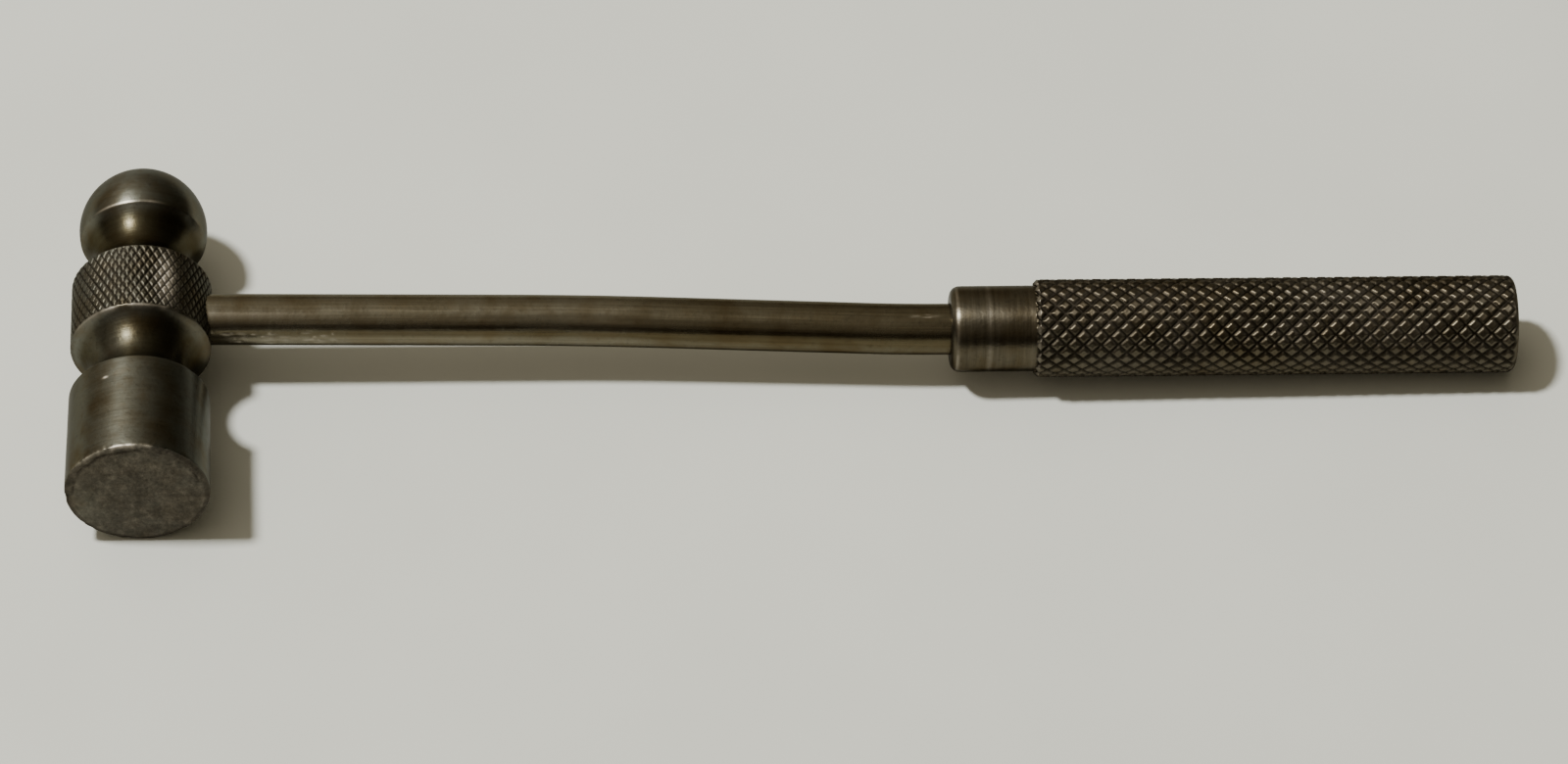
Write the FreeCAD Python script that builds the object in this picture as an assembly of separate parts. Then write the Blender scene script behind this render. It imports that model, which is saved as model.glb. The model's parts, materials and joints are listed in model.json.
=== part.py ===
import FreeCAD, Part
import math
import os

# Small all-steel percussion hammer with a round striking face and a ball peen.
# Three pieces screw together:
#   head   one turned bar: striking face, waisted neck, band that takes the shaft, neck, ball
#   shaft  a round rod, bent slightly in two places, with a thread turned on each end
#   grip   one turned bar: a plain collar in front of the long part that the hand holds
#
# Tool axes, in millimetres: the head's axis is Y with the striking face towards -Y, and the
# shaft leaves the middle of the head along +X. The finished hammer is then laid down the way
# it rests on a table, on the rim of its striking face, its band and the end of its grip.
# The origin is the middle of its footprint, at table height.

# ---- head: stations along Y from the shaft's axis, and diameters ----
FACE_D = 18.6             # striking end, spread a little by use
BARREL_BACK_D = 18.15     # same barrel at the neck
BAND_D = 18.15            # over the knurl's crests
NECK_D = 12.4             # both waists
BALL_D = 16.64
BAND_FRONT = 5.4          # band's edge towards the striking face
BAND_BACK = 5.0           # band's edge towards the ball
FACE_NECK_LENGTH = 8.6
BARREL_LENGTH = 15.5
BALL_NECK_LENGTH = 8.2
BALL_SET = 1.9            # from the ball's sharp rim to its centre
FACE_EDGE_WIDTH = 0.7     # the striking face's worn edge: across, and along the axis
FACE_EDGE_DEPTH = 0.3
BAND_CHAMFER = 0.2

# ---- shaft ----
SHAFT_D = 6.66
SHAFT_REACH = 104.6       # head's axis to the front of the collar
BEND_1_FROM_HEAD = 57.0
BEND_1_ANGLE = 2.0        # degrees, towards the striking face
BEND_1_RADIUS = 570.0
BEND_2_FROM_COLLAR = 5.6
BEND_2_ANGLE = 2.9        # degrees, back the other way
BEND_2_RADIUS = 195.0

# ---- grip: stations along its own axis from the front of the collar ----
COLLAR_D = 11.17
COLLAR_LENGTH = 10.9
COLLAR_ROUND = 1.25
GRIP_D = 12.7             # over the knurl's crests
GRIP_LENGTH = 62.7
GRIP_START_CHAMFER = 0.5
GRIP_END_ROUND = 1.1

# ---- screwed joints: the same thread at both ends of the shaft ----
THREAD_D = 6.0
THREAD_PITCH = 1.0
THREAD_CLEARANCE = 0.05   # normal to the thread's flanks, and over its crests
SEAT_CLEARANCE = 0.02     # radial, where the full rod enters its counterbore
END_CLEARANCE = 1.5       # between a thread's end and the bottom of its hole
HEAD_SEAT = 5.5           # head's axis to the counterbore's floor
HEAD_THREAD = 10.0
COLLAR_SEAT = 2.0         # front of the collar to the counterbore's floor
GRIP_THREAD = 12.0
THREAD_RELIEF = 0.8       # plain waist between the shoulder and the first full turn
DRILL_POINT_ANGLE = 118.0

# ---- thread form: 60 degree vee, crest an eighth of the pitch wide, root a quarter ----
FLANK = math.radians(30)
CREST_FLAT = THREAD_PITCH / 8
THREAD_DEPTH = (THREAD_PITCH - CREST_FLAT - THREAD_PITCH / 4) / (2 * math.tan(FLANK))
ROOT_OVERLAP = 0.04       # how far a ridge sinks into the core that it is fused to
RIDGE_OVERRUN = 2 * THREAD_PITCH
TIP_CHAMFER_EXTRA = 0.25  # how much deeper than the thread its end is chamfered
CORE_SEAM_TURN = 77.0     # degrees about the thread's axis
TRIM_SEAM_TURN = 131.0

# ---- stations that follow from the sizes above ----
BARREL_BACK_Y = -BAND_FRONT - FACE_NECK_LENGTH
FACE_Y = BARREL_BACK_Y - BARREL_LENGTH
RIM_Y = BAND_BACK + BALL_NECK_LENGTH
BALL_Y = RIM_Y + BALL_SET
GRIP_END = COLLAR_LENGTH + GRIP_LENGTH

X_AXIS = FreeCAD.Vector(1, 0, 0)
Y_AXIS = FreeCAD.Vector(0, 1, 0)
Z_AXIS = FreeCAD.Vector(0, 0, 1)
ORIGIN = FreeCAD.Vector(0, 0, 0)
HALF_WAY_ROUND = math.sqrt(0.5)     # sine and cosine of the middle of a quarter turn


def line(start, end):
    return Part.LineSegment(start, end).toShape()


def arc(start, middle, end):
    return Part.Arc(start, middle, end).toShape()


def turned(edges, axis):
    """Solid of revolution about an axis through the origin, from a closed half outline."""
    face = Part.Face(Part.Wire(edges))
    return face.revolve(ORIGIN, axis, 360)


# ---------------------------------------------------------------- screwed joints

def thread_ridge(core_r, clearance, length):
    """Helical ridge about Z that stands on a core; the clearance grows it on every side."""
    outer_r = THREAD_D / 2 + clearance
    outer_half = CREST_FLAT / 2 + clearance * (1 / math.cos(FLANK) - math.tan(FLANK))
    inner_r = core_r - ROOT_OVERLAP
    inner_half = outer_half + (outer_r - inner_r) * math.tan(FLANK)
    corners = [
        FreeCAD.Vector(inner_r, 0, -inner_half),
        FreeCAD.Vector(outer_r, 0, -outer_half),
        FreeCAD.Vector(outer_r, 0, outer_half),
        FreeCAD.Vector(inner_r, 0, inner_half),
    ]
    profile = Part.makePolygon(corners + corners[:1])
    helix = Part.makeHelix(THREAD_PITCH, length, inner_r)
    return Part.Wire(helix).makePipeShell([profile], True, True)


def threaded_rod(length, clearance, ridge_start, ridge_end):
    """Round core about Z from z = 0 to length, with the thread's ridge between two heights.

    The ridge stops short of both ends, and the seams of the round faces are turned apart, so
    that no two faces or seams lie on each other where the solids are joined.
    """
    core_r = THREAD_D / 2 - THREAD_DEPTH + clearance
    core = Part.makeCylinder(core_r, length)
    core.rotate(ORIGIN, Z_AXIS, CORE_SEAM_TURN)
    ridge = thread_ridge(core_r, clearance, length + 2 * RIDGE_OVERRUN)
    ridge.translate(Z_AXIS * -RIDGE_OVERRUN)
    trim = Part.makeCylinder(THREAD_D, ridge_end - ridge_start, Z_AXIS * ridge_start)
    trim.rotate(ORIGIN, Z_AXIS, TRIM_SEAM_TURN)
    rod = core.fuse(ridge.common(trim))
    assert rod.Volume > core.Volume and len(rod.Solids) == 1, "thread ridge was lost"
    return rod


def shaft_end(length):
    """Threaded end of the shaft, about Z, from its shoulder at z = 0, with a chamfered tip."""
    spare = THREAD_PITCH
    rod = threaded_rod(length + spare, 0.0, THREAD_RELIEF, length + spare / 2)
    full_r = THREAD_D / 2 + THREAD_CLEARANCE
    tip = THREAD_DEPTH + TIP_CHAMFER_EXTRA
    body = Part.makeCylinder(full_r, length - tip)
    cone = Part.makeCone(full_r, full_r - tip, tip, Z_AXIS * (length - tip))
    return rod.common(body.fuse(cone))


def tapped_hole(seat_depth, thread_length):
    """What a screwed joint removes, about Z: its counterbore's floor is at z = 0.

    The counterbore reaches back to z = -seat_depth, and a drill point closes the far end.
    """
    seat_r = SHAFT_D / 2 + SEAT_CLEARANCE
    core_r = THREAD_D / 2 - THREAD_DEPTH + THREAD_CLEARANCE
    depth = thread_length + END_CLEARANCE
    counterbore = Part.makeCylinder(seat_r, seat_depth, Z_AXIS * -seat_depth)
    point_height = core_r / math.tan(math.radians(DRILL_POINT_ANGLE / 2))
    point = Part.makeCone(core_r, 0, point_height, Z_AXIS * depth)
    thread = threaded_rod(depth, THREAD_CLEARANCE, THREAD_RELIEF / 2, depth - END_CLEARANCE / 2)
    return counterbore.fuse([thread, point])


def place_about(shape, position, direction):
    """Move a shape built about Z so that its z = 0 is at position and +Z is along direction."""
    shape = shape.copy()
    shape.Placement = FreeCAD.Placement(position, FreeCAD.Rotation(Z_AXIS, direction))
    return shape


# ---------------------------------------------------------------- shaft's line

def heading(degrees):
    """Unit vector in the XY plane, turned from +X towards +Y."""
    angle = math.radians(degrees)
    return FreeCAD.Vector(math.cos(angle), math.sin(angle), 0)


SLOPE_HEADING = heading(-BEND_1_ANGLE)
GRIP_HEADING = heading(BEND_2_ANGLE - BEND_1_ANGLE)
SLOPE_RUN = (SHAFT_REACH - BEND_2_FROM_COLLAR - BEND_1_FROM_HEAD) / SLOPE_HEADING.x

HEAD_SHOULDER = X_AXIS * HEAD_SEAT
BEND_1 = X_AXIS * BEND_1_FROM_HEAD
BEND_2 = BEND_1 + SLOPE_HEADING * SLOPE_RUN
COLLAR_FRONT = BEND_2 + GRIP_HEADING * (BEND_2_FROM_COLLAR / GRIP_HEADING.x)
GRIP_SHOULDER = COLLAR_FRONT + GRIP_HEADING * COLLAR_SEAT


def bend_edge(corner, heading_in, heading_out, radius):
    """Tangent arc that rounds a corner of the shaft's line, with its two ends."""
    half_turn = heading_in.getAngle(heading_out) / 2
    tangent = radius * math.tan(half_turn)
    start = corner - heading_in * tangent
    end = corner + heading_out * tangent
    inwards = (heading_out - heading_in).normalize()
    sagitta = radius / math.cos(half_turn) - radius
    return start, arc(start, corner + inwards * sagitta, end), end


def shaft_line():
    start_1, arc_1, end_1 = bend_edge(BEND_1, X_AXIS, SLOPE_HEADING, BEND_1_RADIUS)
    start_2, arc_2, end_2 = bend_edge(BEND_2, SLOPE_HEADING, GRIP_HEADING, BEND_2_RADIUS)
    edges = [
        line(HEAD_SHOULDER, start_1),
        arc_1,
        line(end_1, start_2),
        arc_2,
        line(end_2, GRIP_SHOULDER),
    ]
    return Part.Wire(edges)


# ---------------------------------------------------------------- the three pieces

def rim_point(y, diameter):
    """Point of a half outline about Y: a station along the axis and a diameter there."""
    return FreeCAD.Vector(diameter / 2, y, 0)


def waist(start, end):
    """Round cove between two rims, at the neck's diameter half way along."""
    middle = rim_point((start.y + end.y) / 2, NECK_D)
    return arc(start, middle, end)


def make_head():
    ball_r = BALL_D / 2
    rim_r = math.sqrt(ball_r ** 2 - BALL_SET ** 2)
    ball_side = ball_r * HALF_WAY_ROUND

    face_centre = rim_point(FACE_Y, 0)
    face_edge = rim_point(FACE_Y, FACE_D - 2 * FACE_EDGE_WIDTH)
    barrel_front = rim_point(FACE_Y + FACE_EDGE_DEPTH, FACE_D)
    barrel_back = rim_point(BARREL_BACK_Y, BARREL_BACK_D)
    band_front_low = rim_point(-BAND_FRONT, BAND_D - 2 * BAND_CHAMFER)
    band_front = rim_point(-BAND_FRONT + BAND_CHAMFER, BAND_D)
    band_back = rim_point(BAND_BACK - BAND_CHAMFER, BAND_D)
    band_back_low = rim_point(BAND_BACK, BAND_D - 2 * BAND_CHAMFER)
    ball_rim = rim_point(RIM_Y, 2 * rim_r)
    ball_middle = rim_point(BALL_Y + ball_side, 2 * ball_side)
    ball_pole = rim_point(BALL_Y + ball_r, 0)

    body = turned([
        line(face_centre, face_edge),
        line(face_edge, barrel_front),
        line(barrel_front, barrel_back),
        waist(barrel_back, band_front_low),
        line(band_front_low, band_front),
        line(band_front, band_back),
        line(band_back, band_back_low),
        waist(band_back_low, ball_rim),
        arc(ball_rim, ball_middle, ball_pole),
        line(ball_pole, face_centre),
    ], Y_AXIS)
    hole = tapped_hole(BAND_D / 2, HEAD_THREAD)
    return body.cut(place_about(hole, HEAD_SHOULDER, -X_AXIS))


def make_shaft():
    path = shaft_line()
    section = Part.Wire(Part.makeCircle(SHAFT_D / 2, HEAD_SHOULDER, X_AXIS))
    rod = path.makePipeShell([section], True, True)
    expected = math.pi * (SHAFT_D / 2) ** 2 * path.Length
    print("rod volume over section times length:", round(rod.Volume / expected, 5))
    head_end = place_about(shaft_end(HEAD_THREAD), HEAD_SHOULDER, -X_AXIS)
    grip_end = place_about(shaft_end(GRIP_THREAD), GRIP_SHOULDER, GRIP_HEADING)
    return rod.fuse([head_end, grip_end])


def make_grip():
    """Turned about its own axis, along Y from the collar's front, then set on the shaft's line."""
    nose_set_in = COLLAR_ROUND * (1 - HALF_WAY_ROUND)
    butt_set_in = GRIP_END_ROUND * (1 - HALF_WAY_ROUND)
    nose_start = rim_point(0, COLLAR_D - 2 * COLLAR_ROUND)
    nose_middle = rim_point(nose_set_in, COLLAR_D - 2 * nose_set_in)
    nose_end = rim_point(COLLAR_ROUND, COLLAR_D)
    collar_back = rim_point(COLLAR_LENGTH, COLLAR_D)
    step = rim_point(COLLAR_LENGTH, GRIP_D - 2 * GRIP_START_CHAMFER)
    grip_start = rim_point(COLLAR_LENGTH + GRIP_START_CHAMFER, GRIP_D)
    butt_start = rim_point(GRIP_END - GRIP_END_ROUND, GRIP_D)
    butt_middle = rim_point(GRIP_END - butt_set_in, GRIP_D - 2 * butt_set_in)
    butt_end = rim_point(GRIP_END, GRIP_D - 2 * GRIP_END_ROUND)
    butt_centre = rim_point(GRIP_END, 0)
    body = turned([
        line(ORIGIN, nose_start),
        arc(nose_start, nose_middle, nose_end),
        line(nose_end, collar_back),
        line(collar_back, step),
        line(step, grip_start),
        line(grip_start, butt_start),
        arc(butt_start, butt_middle, butt_end),
        line(butt_end, butt_centre),
        line(butt_centre, ORIGIN),
    ], Y_AXIS)
    body.rotate(ORIGIN, X_AXIS, 90)
    hole = tapped_hole(COLLAR_SEAT, GRIP_THREAD)
    hole.translate(Z_AXIS * COLLAR_SEAT)
    return place_about(body.cut(hole), COLLAR_FRONT, GRIP_HEADING)


# ---------------------------------------------------------------- lying on the table

def resting_rotation():
    """Turns the tool so that its three lowest contacts share one level.

    Behind the face's rim, the head rests on its band or on its ball, whichever comes first.
    """
    face_contact = FreeCAD.Vector(0, FACE_Y + FACE_EDGE_DEPTH, -FACE_D / 2)
    band_contact = FreeCAD.Vector(0, BAND_BACK - BAND_CHAMFER, -BAND_D / 2)
    ball_contact = FreeCAD.Vector(0, BALL_Y, -BALL_D / 2)
    butt_along = GRIP_HEADING * (GRIP_END - GRIP_END_ROUND)
    butt_contact = COLLAR_FRONT + butt_along - Z_AXIS * (GRIP_D / 2)

    def slope(contact):
        return (contact.z - face_contact.z) / (contact.y - face_contact.y)

    rear_contact = min(band_contact, ball_contact, key=slope)
    up = (rear_contact - butt_contact).cross(face_contact - butt_contact).normalize()
    return FreeCAD.Rotation(up, Z_AXIS)


def laid_down(pieces):
    """The pieces as they lie at rest, with the middle of their footprint at the origin."""
    rotation = resting_rotation()
    turned_pieces = {}
    for name, piece in pieces.items():
        turned_piece = piece.copy()
        turned_piece.Placement = FreeCAD.Placement(ORIGIN, rotation).multiply(piece.Placement)
        turned_pieces[name] = turned_piece
    box = Part.makeCompound(list(turned_pieces.values())).optimalBoundingBox(False)
    shift = FreeCAD.Vector(-box.Center.x, -box.Center.y, -box.ZMin)
    for piece in turned_pieces.values():
        piece.translate(shift)
    return turned_pieces


def main():
    os.makedirs("parts", exist_ok=True)
    pieces = {"head": make_head(), "shaft": make_shaft(), "grip": make_grip()}
    for name, piece in laid_down(pieces).items():
        assert piece.isValid() and len(piece.Solids) == 1, name
        piece.Solids[0].exportStep("parts/" + name + ".step")
        print(name, "volume", round(piece.Volume, 2), "mm3")


main()
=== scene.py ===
import json
import math

import bpy
import numpy as np
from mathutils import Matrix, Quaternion, Vector


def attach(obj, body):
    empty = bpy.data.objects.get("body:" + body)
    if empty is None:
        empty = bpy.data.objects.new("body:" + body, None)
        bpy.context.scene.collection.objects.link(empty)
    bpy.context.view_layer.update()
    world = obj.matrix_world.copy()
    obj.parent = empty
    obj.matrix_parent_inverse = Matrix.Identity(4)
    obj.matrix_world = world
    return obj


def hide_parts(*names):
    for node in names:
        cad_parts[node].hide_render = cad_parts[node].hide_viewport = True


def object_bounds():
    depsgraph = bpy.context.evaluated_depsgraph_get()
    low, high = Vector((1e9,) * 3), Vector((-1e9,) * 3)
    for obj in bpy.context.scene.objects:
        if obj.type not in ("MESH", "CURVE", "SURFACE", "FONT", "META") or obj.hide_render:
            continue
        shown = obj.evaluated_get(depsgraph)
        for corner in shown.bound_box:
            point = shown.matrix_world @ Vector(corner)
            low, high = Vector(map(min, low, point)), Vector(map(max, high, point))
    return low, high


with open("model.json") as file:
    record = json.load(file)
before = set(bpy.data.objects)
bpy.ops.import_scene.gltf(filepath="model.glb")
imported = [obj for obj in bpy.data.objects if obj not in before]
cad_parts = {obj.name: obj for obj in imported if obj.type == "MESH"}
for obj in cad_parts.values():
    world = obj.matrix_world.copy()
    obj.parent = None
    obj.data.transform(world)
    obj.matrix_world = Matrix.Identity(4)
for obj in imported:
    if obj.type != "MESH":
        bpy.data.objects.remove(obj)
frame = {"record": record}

cad_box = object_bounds()
record = frame["record"]
MM = 0.001
TURN = 2 * math.pi

# ---------------------------------------------------------------- sizes, in millimetres
# Stations along the head run from the shaft's axis towards the ball. Angles round it are in
# radians from its top, towards the shaft.
FACE_R, BARREL_BACK_R, BAND_R, NECK_R, BALL_R = 9.3, 9.075, 9.075, 6.2, 8.32
FACE_Y, BARREL_BACK_Y, BAND_FRONT_Y, BAND_BACK_Y = -29.5, -14.0, -5.4, 5.0
RIM_Y, BALL_Y = 13.2, 15.1
FACE_EDGE_WIDTH, FACE_EDGE_DEPTH, BAND_CHAMFER = 0.7, 0.3, 0.2
NICK_Y, NICK_ANGLE = -16.9, -0.475     # a small bright nick near the barrel's back edge

# The shaft's two bends are given by the distance of their corner from one end of the rod.
SHAFT_R = 3.33
BEND_1_FROM_HEAD, BEND_1_RADIUS = 57.0, 570.0
BEND_2_FROM_COLLAR, BEND_2_RADIUS = 5.6, 195.0
SHAFT_IN_HEAD, SHAFT_IN_COLLAR = 6.0, 1.5      # where the visible rod starts and stops

# Stations along the grip run from the front of the collar.
COLLAR_R, COLLAR_LENGTH, COLLAR_ROUND = 5.585, 10.9, 1.25
GRIP_R, GRIP_LENGTH = 6.35, 62.7
GRIP_START_CHAMFER, GRIP_END_ROUND = 0.5, 1.1
GRIP_HOLE_R, GRIP_HOLE_DEPTH = 3.36, 1.2
GRIP_END = COLLAR_LENGTH + GRIP_LENGTH

# Knurls: starts each way round and axial pitch, the height of the lips beside the grooves, and
# for each of the two families of grooves its direction, shift in turns, half width and depth.
GRIP_STARTS, GRIP_PITCH, GRIP_LIP = 18, 2.2575, 0.035
GRIP_GROOVES = ((1, 0.3667, 0.39, 0.40), (-1, 0.3537, 0.34, 0.36))
BAND_STARTS, BAND_PITCH, BAND_LIP = 51, 1.96, 0.02
BAND_GROOVES = ((1, 0.1865, 0.19, 0.17), (-1, -0.1605, 0.19, 0.17))

# Meshes: columns round each piece, and the largest spacing of its rings
HEAD_COLUMNS, GRIP_COLUMNS, SHAFT_COLUMNS = 8 * BAND_STARTS, 12 * GRIP_STARTS, 108
BAND_SPACING, FACE_SPACING, NICK_SPACING = 0.14, 0.28, 0.12
GRIP_SPACING, SHAFT_SPACING, PLAIN_SPACING = 0.19, 0.12, 0.5
EDGE_SOFTNESS = 0.05       # every corner of an outline is rounded over about this width
AXIS_GAP = 0.05            # radius of the last ring at an end that a fan of faces closes


# ---------------------------------------------------------------- places from the frame

def mount(name):
    found = next(m for m in record["mounts"] if m["name"] == name)
    return Vector(found["pos_m"]), Vector(found["axis"]).normalized()


face_centre, face_out = mount("striking_face")
butt_centre, grip_along = mount("grip_butt")
head_along = -face_out
shaft_root = face_centre - head_along * (FACE_Y * MM)
collar_front = butt_centre - grip_along * (GRIP_END * MM)
tool_up = grip_along.cross(head_along).normalized()
shaft_along = head_along.cross(tool_up).normalized()


def placed_straight(origin, along, towards):
    """A function that puts a straight piece's points, in mm about its local Z, in their place.

    Local Z runs along the piece, and local X points as nearly as it can towards a side."""
    z = along.normalized()
    x = (towards - z * towards.dot(z)).normalized()
    turn = np.array([list(x), list(z.cross(x)), list(z)])
    return lambda points: np.array(list(origin)) + (points * MM) @ turn


def placed_along(centres, station_of, side):
    """The same for a piece that follows a bent centre line, with local X towards a side."""
    run = np.diff(centres, axis=0)
    run /= np.linalg.norm(run, axis=1, keepdims=True)
    tangents = np.concatenate([run[:1], run[:-1] + run[1:], run[-1:]])
    tangents /= np.linalg.norm(tangents, axis=1, keepdims=True)

    def place(points):
        centre, tangent = (
            np.stack([np.interp(points[:, 2], station_of, values[:, k]) for k in range(3)], -1)
            for values in (centres, tangents)
        )
        tangent /= np.linalg.norm(tangent, axis=1, keepdims=True)
        x = side - tangent * (tangent @ side)[:, None]
        x /= np.linalg.norm(x, axis=1, keepdims=True)
        y = np.cross(tangent, x)
        return centre + MM * (points[:, :1] * x + points[:, 1:2] * y)

    return place


# ---------------------------------------------------------------- noise and masks

def lattice_noise(points, scale, seed):
    """Smooth noise from -1 to 1 at an array of points, with features about 'scale' wide."""
    size = 32
    values = np.random.default_rng(seed).uniform(-1, 1, (size, size, size))
    p = np.asarray(points, float) / scale
    base = np.floor(p).astype(int)
    t = p - base
    t = t * t * (3 - 2 * t)
    total = np.zeros(p.shape[:-1])
    for corner in range(8):
        offset = np.array([corner & 1, corner >> 1 & 1, corner >> 2 & 1])
        index = (base + offset) % size
        weight = np.prod(np.where(offset, t, 1 - t), axis=-1)
        total += weight * values[index[..., 0], index[..., 1], index[..., 2]]
    return total


def layered_noise(points, scale, seed, layers=3):
    total = sum(0.5 ** k * lattice_noise(points, scale * 0.5 ** k, seed + k) for k in range(layers))
    return total / (2 - 0.5 ** (layers - 1))


def ring_noise(station, scale, seed):
    """Noise that is the same all the way round a turned piece."""
    nowhere = station * 0
    return lattice_noise(np.stack([nowhere, nowhere, station], -1), scale, seed)


def shares(noise):
    """Noise moved from -1..1 to 0..1."""
    return 0.5 + 0.5 * noise


def fade(value, start, end):
    """0 before start, 1 after end, and smooth between."""
    t = np.clip((value - start) / (end - start), 0, 1)
    return t * t * (3 - 2 * t)


def window(value, rise, fall):
    """0 outside and 1 inside: rises over one pair of values and falls over another."""
    return fade(value, *rise) * (1 - fade(value, *fall))


def peak(value, centre, width):
    """A bell curve, 1 at its centre."""
    return np.exp(-((value - centre) / width) ** 2)


def signed(angle):
    return (angle + math.pi) % TURN - math.pi


# ---------------------------------------------------------------- outlines: (station, radius)

def straight(start, end, step=0.03):
    count = max(2, int(math.dist(start, end) / step) + 1)
    return np.linspace(start, end, count)


def arc_through(start, middle, end, step=0.03):
    """Points of the circular arc through three points."""
    a, b, c = (complex(*p) for p in (start, middle, end))
    w = (c - a) / (b - a)
    centre = (b - a) * (w - abs(w) ** 2) / (2j * w.imag) + a
    first, mid, last = (math.atan2((p - centre).imag, (p - centre).real) for p in (a, b, c))
    sweep = (last - first) % TURN
    if (mid - first) % TURN > sweep:
        sweep -= TURN
    radius = abs(a - centre)
    count = max(3, int(abs(sweep) * radius / step) + 1)
    angles = first + np.linspace(0, sweep, count)
    circle = np.stack([np.cos(angles), np.sin(angles)], -1)
    return np.array([centre.real, centre.imag]) + radius * circle


def rounded_corner(end, side, radius, inward):
    """Three points of a quarter circle, from the flat end of a piece to its side."""
    k = 1 - math.sqrt(0.5)
    return [(end + inward * radius * x, side - radius * y) for x, y in ((0, 1), (k, k), (1, 0))]


def join(parts):
    return np.concatenate([parts[0]] + [part[1:] for part in parts[1:]])


def polyline(*corners):
    return join([straight(a, b) for a, b in zip(corners, corners[1:])])


def soften(points, width=EDGE_SOFTNESS, step=0.02):
    """Even points along an outline whose corners are rounded over about 'width'."""
    steps = np.linalg.norm(np.diff(points, axis=0), axis=1)
    along = np.concatenate([[0], np.cumsum(steps)])
    even = np.linspace(0, along[-1], int(along[-1] / step) + 1)
    fine = np.stack([np.interp(even, along, points[:, k]) for k in range(2)], -1)
    reach = int(4 * width / step)
    kernel = np.exp(-0.5 * (np.arange(-reach, reach + 1) * step / width) ** 2)
    kernel /= kernel.sum()
    padded = np.concatenate([
        2 * fine[0] - fine[reach:0:-1],
        fine,
        2 * fine[-1] - fine[-2:-reach - 2:-1],
    ])
    return np.stack([np.convolve(padded[:, k], kernel, "valid") for k in range(2)], -1)


def rings_of(points, longest, shortest=0.05, turn=0.16):
    """Ring places and normals along a fine outline: close together where it bends.

    'longest' is the largest spacing, as one number or one for each point."""
    tangent = np.gradient(points, axis=0)
    heading = np.unwrap(np.arctan2(tangent[:, 1], tangent[:, 0]))
    step = np.linalg.norm(tangent, axis=1)
    bend = np.abs(np.gradient(heading)) / step
    spacing = np.clip(turn / np.maximum(bend, 1e-6), shortest, longest)
    density = np.cumsum(step / spacing)
    density -= density[0]
    wanted = np.linspace(0, density[-1], int(density[-1]) + 1)

    def sampled(*values):
        return np.stack([np.interp(wanted, density, value) for value in values], -1)

    normal = sampled(-np.sin(heading), np.cos(heading))
    return sampled(*points.T), normal / np.linalg.norm(normal, axis=1, keepdims=True)


# ---------------------------------------------------------------- turned pieces

def quad_faces(height):
    """Triangles between the rings, each quad cut along the diagonal that follows a groove."""
    rows, columns = height.shape
    index = np.arange(rows * columns).reshape(rows, columns)
    a, b = index[:-1], index[1:]
    c, d = np.roll(b, -1, 1), np.roll(a, -1, 1)
    depth_ac = np.abs(height[:-1] + np.roll(height, -1, 1)[1:])
    depth_bd = np.abs(height[1:] + np.roll(height, -1, 1)[:-1])
    along_ac = (depth_ac > depth_bd)[..., None]
    first = np.where(along_ac, np.stack([a, d, c], -1), np.stack([a, d, b], -1))
    second = np.where(along_ac, np.stack([a, c, b], -1), np.stack([b, d, c], -1))
    return index, [first.reshape(-1, 3), second.reshape(-1, 3)]


def mesh_piece(name, points, faces, values, place_points):
    """A mesh object made in place. Each point keeps its values, and its place along and round
    the piece as "own_place", for the materials."""
    mesh = bpy.data.meshes.new(name)
    mesh.vertices.add(len(points))
    mesh.vertices.foreach_set("co", place_points(points).astype(np.float32).ravel())
    mesh.loops.add(faces.size)
    mesh.loops.foreach_set("vertex_index", faces.astype(np.int32).ravel())
    mesh.polygons.add(len(faces))
    mesh.polygons.foreach_set("loop_start", np.arange(0, faces.size, 3, dtype=np.int32))
    mesh.update(calc_edges=True)
    for label, amount in values.items():
        attribute = mesh.attributes.new(label, "FLOAT", "POINT")
        attribute.data.foreach_set("value", np.asarray(amount, np.float32))
    own_place = mesh.attributes.new("own_place", "FLOAT_VECTOR", "POINT")
    own_place.data.foreach_set("vector", (points * MM).astype(np.float32).ravel())
    mesh.validate()
    mesh.shade_smooth()
    piece = bpy.data.objects.new(name, mesh)
    bpy.context.scene.collection.objects.link(piece)
    return piece


def turned_piece(name, outline, spacing, columns, relief, marks, place_points, ends):
    """A turned piece, from its outline.

    relief() gives the height in mm to add along the outline's normal, and a level from 0 in a
    groove to 1 on a crest, by which the materials paint shade into grooves. marks() gives the
    amounts of rubbed brightness and painted highlight, dullness, and darkening with painted dark
    reflection. 'ends' lists the rings that a fan of faces closes: 0 for the first, -1 for the last."""
    rings, normals = rings_of(outline, spacing)
    station = np.repeat(rings[:, :1], columns, 1)
    radius = np.repeat(rings[:, 1:], columns, 1)
    angle = np.repeat((np.arange(columns) * TURN / columns)[None], len(rings), 0)
    place = np.stack([radius * np.cos(angle), radius * np.sin(angle), station], -1)
    height, level = relief(station, radius, angle, place)
    amounts = {"crest": level, **marks(station, radius, angle, place)}
    along = station + height * normals[:, :1]
    out = np.maximum(radius + height * normals[:, 1:], 0)
    points = np.stack([out * np.cos(angle), out * np.sin(angle), along], -1).reshape(-1, 3)
    values = {label: amount.reshape(-1) for label, amount in amounts.items()}
    index, faces = quad_faces(height)
    for ring in ends:
        loop, after = index[ring], np.roll(index[ring], -1)
        if ring == 0:
            loop, after = after, loop
        faces.append(np.stack([np.full(columns, len(points)), loop, after], -1))
        points = np.concatenate([points, [[0, 0, along[ring].mean()]]])
        for label, amount in amounts.items():
            values[label] = np.append(values[label], amount[ring].mean())
    return mesh_piece(name, points, np.concatenate(faces), values, place_points)


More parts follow.
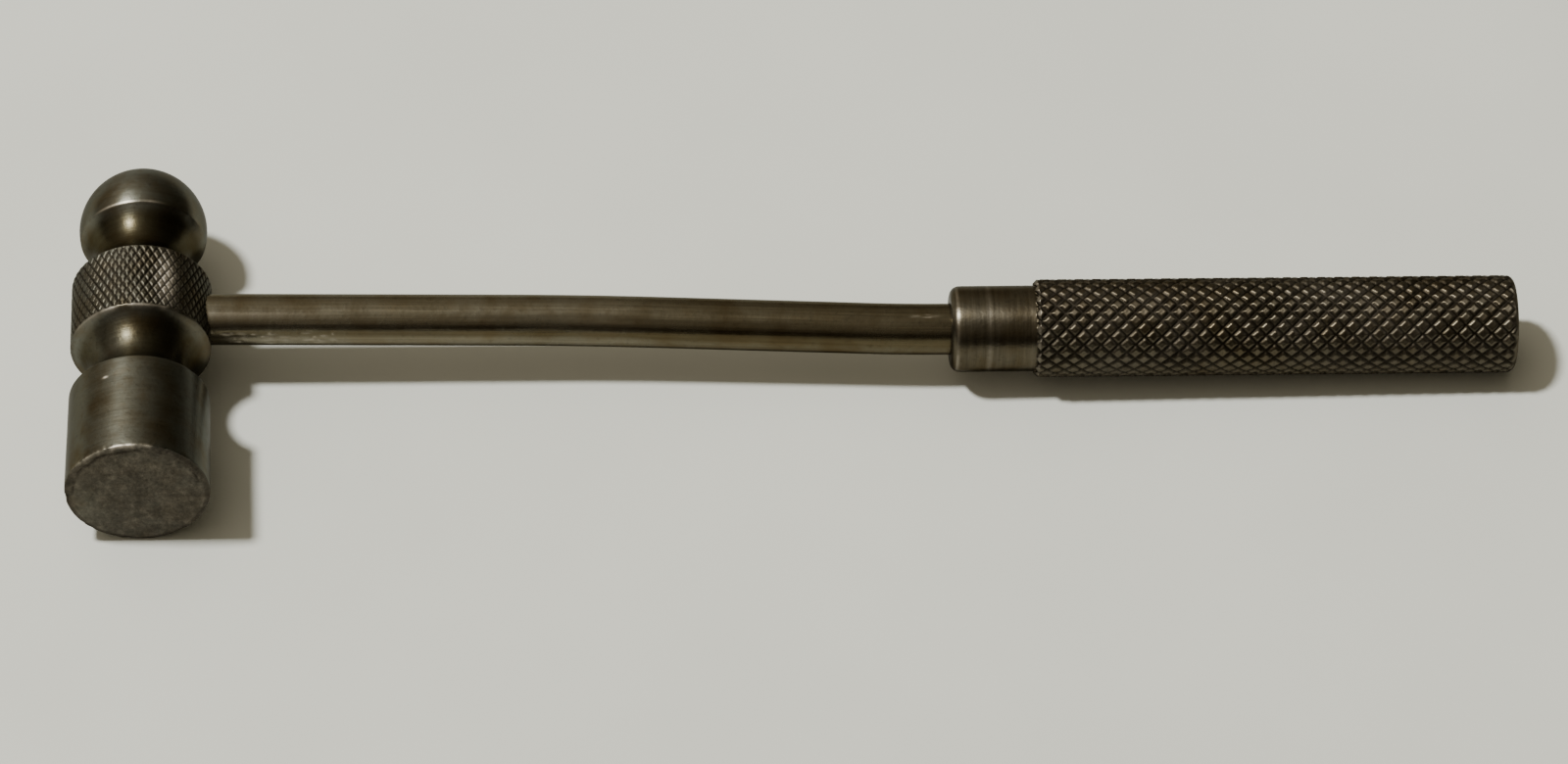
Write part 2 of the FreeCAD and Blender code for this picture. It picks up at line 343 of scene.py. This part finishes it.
def knurl(station, angle, radius, starts, pitch, grooves, lip, pressures):
    """Height and level of a diamond knurl: two crossed families of vee grooves, with raised lips.

    Each family's pressure scales its grooves' width and depth, and varies over the piece."""
    period = 1 / math.hypot(starts / (TURN * radius), 1 / pitch)
    height = np.zeros_like(station)
    level = np.ones_like(station)
    rise = np.zeros_like(station)
    for (direction, shift, half_width, depth), pressure in zip(grooves, pressures):
        half_width = half_width * pressure
        turns = starts * angle / TURN + direction * station / pitch + shift
        away = np.abs(turns - np.floor(turns) - 0.5) * period
        groove = np.clip(1 - away / half_width, 0, 1) ** 1.15
        height = np.minimum(height, -depth * pressure * groove)
        level = np.minimum(level, np.clip(away / half_width, 0, 1))
        rise = np.maximum(rise, peak(away, half_width + 0.08, 0.11))
    return height + lip * (rise * level - 1), level


# ---------------------------------------------------------------- head

def head_outline():
    rim_r = math.sqrt(BALL_R ** 2 - (BALL_Y - RIM_Y) ** 2)
    half = BALL_R * math.sqrt(0.5)
    front_waist = ((BARREL_BACK_Y + BAND_FRONT_Y) / 2, NECK_R)
    rear_waist = ((BAND_BACK_Y + RIM_Y) / 2, NECK_R)
    barrel_back = (BARREL_BACK_Y, BARREL_BACK_R)
    band_front = (BAND_FRONT_Y, BAND_R - BAND_CHAMFER)
    band_back = (BAND_BACK_Y, BAND_R - BAND_CHAMFER)
    return join([
        polyline(
            (FACE_Y, AXIS_GAP),
            (FACE_Y, FACE_R - FACE_EDGE_WIDTH),
            (FACE_Y + FACE_EDGE_DEPTH, FACE_R),
            barrel_back,
        ),
        arc_through(barrel_back, front_waist, band_front),
        polyline(
            band_front,
            (BAND_FRONT_Y + BAND_CHAMFER, BAND_R),
            (BAND_BACK_Y - BAND_CHAMFER, BAND_R),
            band_back,
        ),
        arc_through(band_back, rear_waist, (RIM_Y, rim_r)),
        arc_through((RIM_Y, rim_r), (BALL_Y + half, half), (BALL_Y + BALL_R, AXIS_GAP)),
    ])


def head_spacing(outline):
    station, radius = outline.T
    on_band = (station > BAND_FRONT_Y) & (station < BAND_BACK_Y) & (radius > BAND_R - 0.5)
    by_nick = np.abs(station - NICK_Y) < 0.7
    spacing = np.where(by_nick, NICK_SPACING, PLAIN_SPACING)
    spacing = np.where(station < FACE_Y + 1.5, FACE_SPACING, spacing)
    return np.where(on_band, BAND_SPACING, spacing)


def face_relief(station, radius, angle, place):
    """The striking face: pitted all over, chipped at its edge, with a crevice inside the burr."""
    side = signed(angle)
    on_face = 1 - fade(station, FACE_Y + 0.1, FACE_Y + FACE_EDGE_DEPTH + 0.3)
    pits = 0.045 * layered_noise(place, 1.1, 21)
    dents = 0.09 * np.minimum(lattice_noise(place, 2.6, 31) + 0.25, 0)
    height = on_face * (pits + dents - 0.05)

    near_edge = peak(station, FACE_Y + 0.3, 0.5) * fade(radius, FACE_R - 1.3, FACE_R - 0.5)
    chip_depth = 0.22 + 0.25 * peak(side, -1.5, 0.45)
    height += near_edge * np.minimum(chip_depth * layered_noise(place, 1.3, 41) - 0.02, 0)

    crevice_r = FACE_R - 0.95 - 0.2 * lattice_noise(place, 1.5, 45)
    crevice = peak(radius, crevice_r, 0.22) * on_face * window(side, (-2.2, -1.6), (1.0, 1.5))
    height -= 0.10 * crevice
    # painted shade: the crevice is drawn dark, as the shadow line inside the burr
    dark = 0.75 * crevice * fade(lattice_noise(place, 1.0, 47), -0.6, 0.2)
    # the face's edge is drawn darker, except on its upper left
    undarkened_part = window(side, (-1.25, -0.7), (0.1, 0.3))
    darker_rim = peak(station, FACE_Y + 0.2, 0.25) * (radius > FACE_R - 0.8) * (1 - undarkened_part)
    return height, 1 - np.maximum(dark, 0.5 * darker_rim)


def head_relief(station, radius, angle, place):
    pressures = [
        np.clip(0.95 + 0.35 * lattice_noise(place, size, seed), 0.7, 1.2)
        for size, seed in ((4.0, 11), (3.5, 13))
    ]
    height, level = knurl(
        station, angle, BAND_R, BAND_STARTS, BAND_PITCH, BAND_GROOVES, BAND_LIP, pressures)
    band = window(
        station, (BAND_FRONT_Y + 0.15, BAND_FRONT_Y + 0.5), (BAND_BACK_Y - 0.5, BAND_BACK_Y))
    band *= radius > BAND_R - 0.4
    face_height, face_level = face_relief(station, radius, angle, place)
    height = height * band + face_height
    level = np.minimum(1 - (1 - level) * band, face_level)
    hand_finish = 0.012 * lattice_noise(place, 4.0, 51)      # slow unevenness of the turning
    return height + (1 - band) * hand_finish - 0.012, level


def head_marks(station, radius, angle, place):
    side = signed(angle)
    uneven = shares(layered_noise(place, 2.0, 61))
    fine = shares(layered_noise(place, 0.6, 63))
    edge_y = FACE_Y + FACE_EDGE_DEPTH
    on_band = (radius > BAND_R - 0.35) * (station > BAND_FRONT_Y - 0.1) * (station < BAND_BACK_Y)

    # bright: painted highlights on the side towards the lamp, along the real burr round the near
    # side of the face, the band's front edge and the ball's rim; and rubbed metal on top of the
    # band, and the nick
    # painted highlight: the burr's bright line, kept to its upper left
    burr = peak(station, edge_y + 0.03, 0.12) * (radius > FACE_R - 0.4)
    broken = fade(0.5 * (uneven + fine), 0.3, 0.65)
    burr = burr * window(side, (-1.35, -0.6), (0.15, 0.3)) * broken
    # painted highlight along the band's front edge
    band_rim_highlight = 0.5 * peak(station, BAND_FRONT_Y + 0.1, 0.13)
    band_rim_highlight = band_rim_highlight * window(side, (-1.3, -0.7), (0.5, 0.9)) * fade(uneven, 0.3, 0.6)
    rubbed = 1.5 * peak(side, 0.38, 0.13) * peak(station, -0.3, 3.4) * (0.3 + 1.1 * fine)
    # painted highlight along the ball's rim
    ball_rim_highlight = 0.6 * peak(station, RIM_Y + 0.10, 0.12) * (radius > NECK_R + 1.2)
    ball_rim_highlight = ball_rim_highlight * window(side, (-1.0, -0.6), (0.1, 0.5)) * fade(uneven, 0.25, 0.6)
    nick = 1.1 * peak(station, NICK_Y, 0.16) * peak(side, NICK_ANGLE, 0.34 / BARREL_BACK_R)
    wear = burr + on_band * (band_rim_highlight + rubbed) + ball_rim_highlight + nick

    # dull: the beaten face, less so towards its left, and a little on the band and in the front
    # waist
    less_dull_side = peak(side, -1.9, 0.6) * fade(radius, 3.5, 7.0)
    face = 1 - fade(station, FACE_Y + 0.15, FACE_Y + 0.4)
    front_waist = window(station, (BARREL_BACK_Y, BARREL_BACK_Y + 1.5), (-6.9, BAND_FRONT_Y))
    dull = face * (0.80 + 0.3 * uneven - 0.35 * less_dull_side)
    dull = dull + (0.5 * on_band + 0.35 * front_waist) * uneven

    # darker, with deeper tool lines: both waists, less so on the left of the front one
    polish = 0.2 * on_band
    for start, end in ((BARREL_BACK_Y, BAND_FRONT_Y), (BAND_BACK_Y, RIM_Y)):
        polish = polish + window(station, (start, start + 1.2), (end - 1.2, end))
    less_darkened_waist = peak(side, -0.75, 0.45) * peak(station, -9.5, 3.5)
    polish = polish * (1 - 0.7 * less_darkened_waist * (0.4 + 0.6 * uneven))
    amounts = {"wear": wear, "dull": dull, "polish": polish}
    return {label: np.clip(amount, 0, 1) for label, amount in amounts.items()}


def make_head():
    outline = soften(head_outline())
    place_points = placed_straight(shaft_root, head_along, tool_up)
    return turned_piece(
        "hammer_head", outline, head_spacing(outline), HEAD_COLUMNS, head_relief, head_marks,
        place_points, (0, -1))


# ---------------------------------------------------------------- grip

def grip_outline():
    nose = rounded_corner(0, COLLAR_R, COLLAR_ROUND, inward=1)
    butt = rounded_corner(GRIP_END, GRIP_R, GRIP_END_ROUND, inward=-1)[::-1]
    return join([
        polyline((GRIP_HOLE_DEPTH, GRIP_HOLE_R), (0, GRIP_HOLE_R), nose[0]),
        arc_through(*nose),
        polyline(
            nose[-1],
            (COLLAR_LENGTH, COLLAR_R),
            (COLLAR_LENGTH, GRIP_R - GRIP_START_CHAMFER),
            (COLLAR_LENGTH + GRIP_START_CHAMFER, GRIP_R),
            butt[0],
        ),
        arc_through(*butt),
        polyline(butt[-1], (GRIP_END, AXIS_GAP)),
    ])


def grip_spacing(outline):
    station, radius = outline.T
    knurled = (station > COLLAR_LENGTH) & (radius > GRIP_R - 0.7)
    return np.where(knurled, GRIP_SPACING, PLAIN_SPACING)


def grip_relief(station, radius, angle, place):
    pressure = np.clip(1 + 0.25 * lattice_noise(place, 5.0, 12), 0.75, 1.15)
    height, level = knurl(
        station, angle, GRIP_R, GRIP_STARTS, GRIP_PITCH, GRIP_GROOVES, GRIP_LIP, [pressure] * 2)
    knurled = (station > COLLAR_LENGTH - 0.05) * (radius > GRIP_R - 0.75)
    knurled = knurled * (1 - fade(station, GRIP_END - 0.75, GRIP_END - 0.15))
    on_collar = (station < COLLAR_LENGTH) * (radius > COLLAR_R - 0.2)
    tool_rings = on_collar * (0.010 * ring_noise(station, 0.45, 72) - 0.010)
    # the knurl's level, by which its grooves get painted shade
    return height * knurled + tool_rings, 1 - (1 - level) * knurled


def grip_marks(station, radius, angle, place):
    uneven = shares(layered_noise(place, 1.6, 62))
    # painted highlight: a thin bright line round the collar's rounded nose
    nose = 0.3 * peak(station, COLLAR_ROUND * 0.6, 0.13) * (radius > COLLAR_R - 0.8) * (station < 2)
    step = 0.4 * peak(station, COLLAR_LENGTH + 0.3, 0.2) * (radius > COLLAR_R + 0.1)
    rings = 0.22 * fade(ring_noise(station, 0.16, 66), 0.35, 0.7)
    rings = rings * (station > 3) * (station < COLLAR_LENGTH - 0.5)
    wear = nose * fade(uneven, 0.2, 0.7) + (step + rings) * uneven
    dull = np.clip(0.25 + 0.5 * layered_noise(place, 5.0, 67), 0, 0.6) * (station > COLLAR_LENGTH)
    return {"wear": np.clip(wear, 0, 1), "dull": dull, "polish": 0.1 * (station < COLLAR_LENGTH)}


def make_grip():
    outline = soften(grip_outline())
    place_points = placed_straight(collar_front, grip_along, -head_along)
    return turned_piece(
        "knurled_grip", outline, grip_spacing(outline), GRIP_COLUMNS, grip_relief, grip_marks,
        place_points, (-1,))


# ---------------------------------------------------------------- shaft

def shaft_centres():
    """Points along the rod's centre line in metres: three straight runs and two large bends."""
    start = shaft_root + shaft_along * (SHAFT_IN_HEAD * MM)
    corner_1 = shaft_root + shaft_along * (BEND_1_FROM_HEAD * MM)
    corner_2 = collar_front - grip_along * (BEND_2_FROM_COLLAR * MM)
    end = collar_front + grip_along * (SHAFT_IN_COLLAR * MM)
    slope = (corner_2 - corner_1).normalized()
    points = [start]
    for corner, before, after, radius in (
        (corner_1, shaft_along, slope, BEND_1_RADIUS),
        (corner_2, slope, grip_along, BEND_2_RADIUS),
    ):
        reach = radius * MM * math.tan(before.angle(after) / 2)
        a, b = corner - before * reach, corner + after * reach
        for t in np.linspace(0, 1, 9).tolist():
            points.append(a * (1 - t) ** 2 + corner * 2 * t * (1 - t) + b * t ** 2)
    points.append(end)
    return np.array([list(p) for p in points])


def scattered_nicks():
    """Tool marks: station, angle in degrees, half width, half length and strength of each."""
    draw = np.random.default_rng(7).uniform
    return [
        (station, degrees, draw(0.07, 0.16), draw(0.12, 0.7), draw(0.4, 1))
        for count, first, last, low, high in (
            (44, 2.5, 19, -22, 16),         # low on the near side, by the head
            (6, 93.5, 97.0, -88, -76),      # on top, by the collar
        )
        for station, degrees in zip(draw(first, last, count), draw(low, high, count))
    ]


NICKS = scattered_nicks()


def nicked(station, angle):
    total = np.zeros_like(station)
    for at, degrees, half_width, half_length, strength in NICKS:
        aside = signed(angle - math.radians(degrees)) * SHAFT_R
        total += strength * peak(station, at, half_length) * peak(aside, 0, half_width)
    return np.clip(total, 0, 1)


def shaft_relief(station, radius, angle, place):
    nicks = nicked(station, angle)
    # the nicks' level, by which they get painted shade
    return 0.008 * lattice_noise(place, 5.0, 81) - 0.010 - 0.045 * nicks, 1 - 0.35 * nicks


def shaft_marks(station, radius, angle, place):
    uneven = lattice_noise(place, 9.0, 85)
    degrees = np.degrees(signed(angle))        # 0 on the near side, negative towards the top
    # darker towards the collar
    darker = 0.75 * fade(station + 9 * uneven, 38, 74) + 0.10 * uneven
    # painted reflection: a dark band along the near side, a little above level, where the dim room
    # in front shows
    painted_dark_reflection = 0.8 * peak(degrees, -17, 11)
    # a bright streak along the top near the head
    bright_streak = 0.16 * peak(degrees, -58, 8) * (1 - fade(station + 3 * uneven, 6, 20))
    # painted highlight: a bright copy beside each nick
    painted_nick_highlights = 0.4 * nicked(station + 0.10, angle - 0.02)
    return {
        "wear": painted_nick_highlights + bright_streak,
        "dull": np.zeros_like(station),
        "polish": np.clip(darker + painted_dark_reflection, 0, 1),
    }


def make_shaft():
    """The rod is built straight about local Z and then laid along its centre line."""
    centres = shaft_centres()
    steps = np.linalg.norm(np.diff(centres, axis=0), axis=1)
    station_of = np.concatenate([[0], np.cumsum(steps)]) / MM
    outline = soften(straight((0, SHAFT_R), (station_of[-1], SHAFT_R)))
    place_points = placed_along(centres, station_of, -np.array(list(head_along)))
    return turned_piece(
        "shaft_rod", outline, SHAFT_SPACING, SHAFT_COLUMNS, shaft_relief, shaft_marks,
        place_points, ())


# ---------------------------------------------------------------- node trees

class Tree:
    """The node tree of a material or world, with short ways to add the nodes used here."""

    def __init__(self, owner):
        owner.use_nodes = True
        self.nodes = owner.node_tree.nodes
        self.links = owner.node_tree.links

    def add(self, kind, **inputs):
        node = self.nodes.new("ShaderNode" + kind)
        for name, value in inputs.items():
            self.feed(node.inputs[name], value)
        return node

    def feed(self, socket, value):
        """Links a socket to another node's output, or sets a number or a colour on it."""
        if isinstance(value, bpy.types.NodeSocket):
            self.links.new(value, socket)
        elif socket.type == "RGBA":
            socket.default_value = (*value, 1)
        else:
            socket.default_value = value

    def attribute(self, label, output="Fac"):
        node = self.add("Attribute")
        node.attribute_name = label
        return node.outputs[output]

    def noise(self, place, scale, detail, roughness=0.5):
        node = self.add("TexNoise", Vector=place, Scale=scale, Detail=detail, Roughness=roughness)
        return node.outputs["Fac"]

    def ramp(self, value, *stops):
        """Colours along a value, from stops of a position and a colour, or one grey level."""
        node = self.add("ValToRGB", Fac=value)
        elements = node.color_ramp.elements
        while len(elements) < len(stops):
            elements.new(0.5)
        for element, (position, colour) in zip(elements, stops):
            element.position = position
            element.color = (*(colour if isinstance(colour, tuple) else (colour,) * 3), 1)
        return node.outputs["Color"]

    def mix(self, kind, factor, first, second):
        node = self.add("Mix")
        node.data_type = "RGBA"
        node.blend_type = kind
        for slot, value in ((0, factor), (6, first), (7, second)):
            self.feed(node.inputs[slot], value)
        return node.outputs[2]

    def math(self, operation, *values):
        node = self.add("Math")
        node.operation = operation
        for slot, value in enumerate(values):
            self.feed(node.inputs[slot], value)
        return node.outputs[0]

    def bump(self, height, strength, distance, **normal):
        node = self.add("Bump", Height=height, Strength=strength, Distance=distance, **normal)
        return node.outputs["Normal"]


# ---------------------------------------------------------------- materials

EDGE_TINT = (0.45, 0.45, 0.45)    # old steel brightens less at a glancing angle than clean metal
# painted shade for knurl grooves, nicks and the face's crevice, and the colour of dark pits
GROOVE_SHADE_AND_PIT_DARK = (0.012, 0.009, 0.005)
# rubbed bright metal, and painted highlights along edges and beside nicks
WORN_AND_HIGHLIGHT_BRIGHT = (0.62, 0.56, 0.47)
DARKENING_TONE = (0.46, 0.41, 0.31)      # what the darkening multiplies the colour by; on the shaft it paints a dark reflection
DULL_STEEL = (0.090, 0.078, 0.062)

# Tool lines: how their noise is squeezed, how far highlights spread across them, and the turn
# of that spread from the way round the piece
TURNED = ((0.06, 0.06, 1.0), 0.55, 0.25)
DRAWN = ((1.0, 1.0, 0.02), 0.1, 0.0)


def shades(colour, *factors):
    return [tuple(factor * channel for channel in colour) for factor in factors]


def steel(name, along, clean, brown, rough, tool_lines, line_depth, waist_depth, pit_depth):
    """Old steel: patchy brown patina over grey, tool lines, pits, rubbed edges, painted highlights
    and shade.

    The tool lines run round the piece's axis or along it, and spread each highlight across them.
    'waist_depth' is how much deeper they are where the darkening is high."""
    squeeze, spread, turn = tool_lines
    material = bpy.data.materials.new(name)
    tree = Tree(material)
    shader = tree.nodes["Principled BSDF"]
    place = tree.attribute("own_place", "Vector")
    wear, crest, dull, polish = (tree.attribute(n) for n in ("wear", "crest", "dull", "polish"))

    patches = tree.noise(place, 190, 4, 0.6)
    specks = tree.noise(place, 1500, 3, 0.6)
    squeezed = tree.add("Mapping", Vector=place, Scale=squeeze).outputs["Vector"]
    lines = tree.noise(squeezed, 2400, 3, 0.65)
    groove = tree.ramp(crest, (0.20, 1.0), (0.95, 0.0))
    worn_and_highlit = tree.math("MULTIPLY", wear, crest)

    tone = patina(tree, place, patches, clean, brown)
    speck_amount = tree.math("MULTIPLY_ADD", dull, 0.45, 0.22)
    speck_amount = tree.math("MULTIPLY", tree.ramp(specks, (0.56, 0.0), (0.72, 1.0)), speck_amount)
    tone = tree.mix("MIX", speck_amount, tone, GROOVE_SHADE_AND_PIT_DARK)
    tone = tree.mix("MULTIPLY", 2 * line_depth, tone, tree.ramp(lines, (0.3, 0.5), (0.7, 1.15)))
    # painted shade: grooves, nicks and the face's crevice drawn nearly black
    tone = tree.mix("MIX", tree.math("MULTIPLY", groove, 0.95), tone, GROOVE_SHADE_AND_PIT_DARK)
    tone = tree.mix("MIX", tree.math("MULTIPLY", dull, 0.85), tone, beaten(tree, place))
    # darker waists and collar, and on the shaft a painted dark reflection band
    tone = tree.mix("MULTIPLY", polish, tone, DARKENING_TONE)
    # rubbed edges and diamonds, and painted highlights, mixed in as bright metal
    tree.feed(shader.inputs["Base Color"], tree.mix("MIX", worn_and_highlit, tone, WORN_AND_HIGHLIGHT_BRIGHT))

    roughness = rough - 0.16
    for mask, amount in (
        (patches, 0.2), (lines, 0.12), (groove, 0.25), (dull, 0.28), (polish, -0.01), (worn_and_highlit, 0.22),
    ):
        roughness = tree.math("MULTIPLY_ADD", mask, amount, roughness)
    tree.feed(shader.inputs["Roughness"], roughness)

    line_strength = tree.math("MULTIPLY_ADD", polish, waist_depth, line_depth)
    pit_strength = tree.math("MULTIPLY_ADD", dull, 0.5, pit_depth)
    normal = tree.bump(lines, line_strength, 0.04 * MM)
    tree.feed(shader.inputs["Normal"], tree.bump(specks, pit_strength, 0.08 * MM, Normal=normal))

    around = tree.add("VectorMath")
    around.operation = "CROSS_PRODUCT"
    tree.feed(around.inputs[0], tuple(along))
    tree.feed(around.inputs[1], tree.add("NewGeometry").outputs["Normal"])
    tree.feed(shader.inputs["Tangent"], around.outputs["Vector"])
    for label, value in (
        ("Metallic", 1.0), ("Specular Tint", EDGE_TINT),
        ("Anisotropic", spread), ("Anisotropic Rotation", turn),
    ):
        tree.feed(shader.inputs[label], value)
    return material


def patina(tree, place, patches, clean, brown):
    """Brown patches over grey, lighter and darker over wider areas."""
    tone = tree.ramp(patches, (0.34, brown), (0.54, clean), (0.72, brown))
    wide = tree.noise(place, 48, 2)
    wide = tree.ramp(wide, (0.32, (0.80, 0.76, 0.68)), (0.66, (1.08, 1.1, 1.12)))
    return tree.mix("MULTIPLY", 1.0, tone, wide)


def beaten(tree, place):
    """The mottled grey of the striking face."""
    mottle = tree.noise(place, 900, 4, 0.7)
    return tree.ramp(mottle, *zip((0.36, 0.52, 0.70), shades(DULL_STEEL, 0.62, 1.0, 1.7)))


def head_material():
    return steel(
        "head_patina", head_along, clean=(0.132, 0.133, 0.113), brown=(0.110, 0.095, 0.066),
        rough=0.34, tool_lines=TURNED, line_depth=0.11, waist_depth=0.4, pit_depth=0.2)


def shaft_material():
    return steel(
        "shaft_patina", shaft_along, clean=(0.200, 0.184, 0.142), brown=(0.168, 0.142, 0.096),
        rough=0.26, tool_lines=DRAWN, line_depth=0.25, waist_depth=0.0, pit_depth=0.15)


def grip_material():
    return steel(
        "grip_patina", grip_along, clean=(0.105, 0.092, 0.068), brown=(0.088, 0.071, 0.045),
        rough=0.34, tool_lines=TURNED, line_depth=0.3, waist_depth=0.0, pit_depth=0.3)


def floor_material():
    material = bpy.data.materials.new("pale_paper")
    tree = Tree(material)
    shader = tree.nodes["Principled BSDF"]
    cloud = tree.noise(tree.add("TexCoord").outputs["Object"], 25, 3)
    paper = tree.ramp(cloud, (0.35, (0.625, 0.635, 0.585)), (0.65, (0.65, 0.66, 0.61)))
    tree.feed(shader.inputs["Base Color"], paper)
    tree.feed(shader.inputs["Roughness"], 0.75)
    return material


# ---------------------------------------------------------------- stage, light and camera

FLOOR_HALF_SIZE = 1.6
LAMP_PLACE, LAMP_DIAMETER, LAMP_WATTS = (-1.41, 0.08, 2.7), 0.36, 128.0
ROOM_STRENGTH = 1.3
CAMERA_AZIMUTH, CAMERA_ELEVATION, CAMERA_ROLL = map(math.radians, (3.174, 49.590, 1.949))
CAMERA_DISTANCE, CAMERA_LENS, SENSOR_WIDTH = 1147.3 * MM, 202.5, 36
AIM_FROM_MIDDLE = Vector((-1.3 * MM, -0.73 * MM, 0))


def make_floor():
    h = FLOOR_HALF_SIZE
    corners = [(-h, -h, 0), (h, -h, 0), (h, h, 0), (-h, h, 0)]
    mesh = bpy.data.meshes.new("floor")
    mesh.from_pydata(corners, [], [(0, 1, 2, 3)])
    floor = bpy.data.objects.new("floor", mesh)
    bpy.context.scene.collection.objects.link(floor)
    floor.location.z = cad_box[0][2]
    mesh.materials.append(floor_material())


def make_lamp():
    """A round lamp under the ceiling, off to the head's side, that gives the soft-edged shadows."""
    light = bpy.data.lights.new("ceiling_lamp", "AREA")
    light.shape = "DISK"
    light.size = LAMP_DIAMETER
    light.energy = LAMP_WATTS
    light.color = (1.0, 1.0, 0.965)
    lamp = bpy.data.objects.new("ceiling_lamp", light)
    bpy.context.scene.collection.objects.link(lamp)
    lamp.location = LAMP_PLACE
    lamp.rotation_euler = lamp.location.to_track_quat("Z", "Y").to_euler()


def make_world():
    """A soft room: light walls and ceiling behind the object, dim towards the viewer and right."""
    world = bpy.data.worlds.new("room")
    bpy.context.scene.world = world
    tree = Tree(world)
    x, y, z = tree.add("SeparateXYZ", Vector=tree.add("TexCoord").outputs["Generated"]).outputs
    height = tree.math("MULTIPLY_ADD", z, 0.75, 0.25)
    height = tree.math("MULTIPLY_ADD", y, 0.25, height)
    glow = tree.ramp(
        height,
        (0.0, (0.05, 0.040, 0.028)),
        (0.24, (0.06, 0.046, 0.032)),
        (0.40, (0.18, 0.153, 0.112)),
        (0.50, (0.36, 0.315, 0.235)),
        (0.75, (0.45, 0.400, 0.305)),
        (1.0, (0.62, 0.56, 0.43)),
    )
    across = tree.ramp(
        tree.math("MULTIPLY_ADD", x, 0.5, 0.5),
        (0.0, 0.80),
        (0.30, 1.0),
        (0.45, 0.83),
        (0.55, 0.50),
        (0.70, (0.22, 0.22, 0.20)),
        (0.85, (0.11, 0.11, 0.09)),
        (1.0, (0.11, 0.11, 0.09)),
    )
    background = tree.nodes["Background"]
    tree.feed(background.inputs["Color"], tree.mix("MULTIPLY", 1.0, glow, across))
    tree.feed(background.inputs["Strength"], ROOM_STRENGTH)


def make_camera():
    level = math.cos(CAMERA_ELEVATION)
    forward = Vector((
        math.sin(CAMERA_AZIMUTH) * level,
        math.cos(CAMERA_AZIMUTH) * level,
        -math.sin(CAMERA_ELEVATION),
    ))
    middle = (Vector(cad_box[0]) + Vector(cad_box[1])) / 2
    aim = Vector((middle.x, middle.y, 0)) + AIM_FROM_MIDDLE
    data = bpy.data.cameras.new("camera")
    data.sensor_width = SENSOR_WIDTH
    data.lens = CAMERA_LENS
    data.clip_start = 0.05
    camera = bpy.data.objects.new("camera", data)
    bpy.context.scene.collection.objects.link(camera)
    camera.rotation_mode = "QUATERNION"
    upright = forward.to_track_quat("-Z", "Y")
    camera.rotation_quaternion = upright @ Quaternion((0, 0, 1), CAMERA_ROLL)
    camera.location = aim - forward * CAMERA_DISTANCE
    bpy.context.scene.camera = camera


# ---------------------------------------------------------------- assembly

def main():
    make_camera()
    make_world()
    make_floor()
    make_lamp()
    for make, material, node, slot in (
        (make_head, head_material, "head", "head_steel"),
        (make_shaft, shaft_material, "shaft", "shaft_steel"),
        (make_grip, grip_material, "grip", "grip_steel"),
    ):
        piece = make()
        piece.data.materials.append(material())
        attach(piece, "root")
        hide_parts(node)


main()
